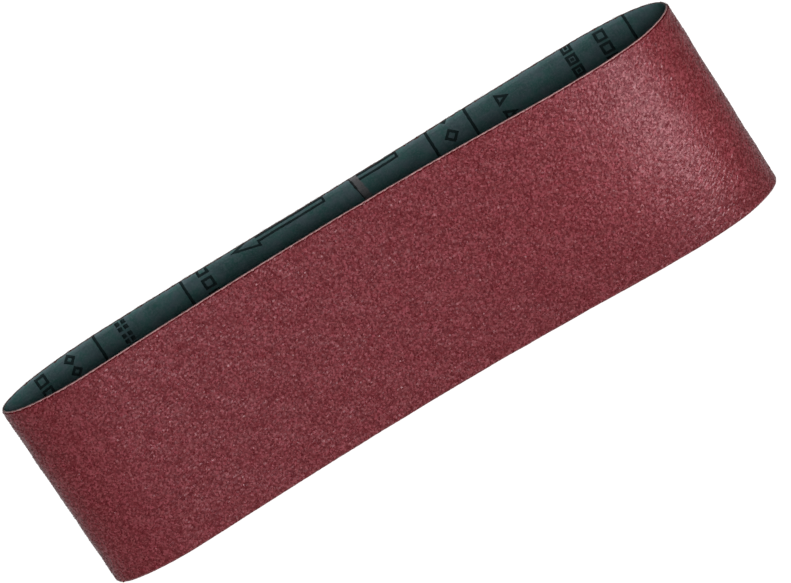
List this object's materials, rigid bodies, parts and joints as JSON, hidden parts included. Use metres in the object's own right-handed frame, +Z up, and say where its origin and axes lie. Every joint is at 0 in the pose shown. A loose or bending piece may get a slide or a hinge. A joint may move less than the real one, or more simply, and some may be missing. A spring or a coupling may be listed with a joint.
{
  "type": "sanding belt",
  "caption": "Endless abrasive-cloth sanding belt resting on its slit edge as a flattened loop: red-brown grit outside, green cloth finish with direction arrows inside, bevelled lap splice.",
  "frame": {"origin": "on the floor under the middle of the loop's bounding box; the belt stands on one slit edge", "axes": "+X along the flattened loop, towards its fuller end; +Y across the loop, towards the far run that carries the splice; +Z up, across the belt's width"},
  "size_m": [0.2586, 0.0304, 0.075],
  "materials": {
    "cloth": "resin-stiffened woven cotton and polyester, raw at the slit edges",
    "back_finish": "dark green-grey filled cloth, matt, with the weave showing through",
    "resin": "brown phenolic resin",
    "grain": "red-brown aluminium oxide grit, sharp and closely packed",
    "size_resin": "thin red-brown resin film over the grit, faintly glossy at low angles",
    "adhesive": "dark cured splice adhesive",
    "ink": "near-black printed ink"
  },
  "bodies": {
    "root": {"backing_cloth": "cloth", "back_fill": "back_finish", "make_coat": "resin", "abrasive_grain": "grain", "size_coat": "size_resin", "splice_adhesive": "adhesive", "direction_arrows": "ink", "divider_lines": "ink", "label_blocks": "ink"}
  },
  "joints": []
}
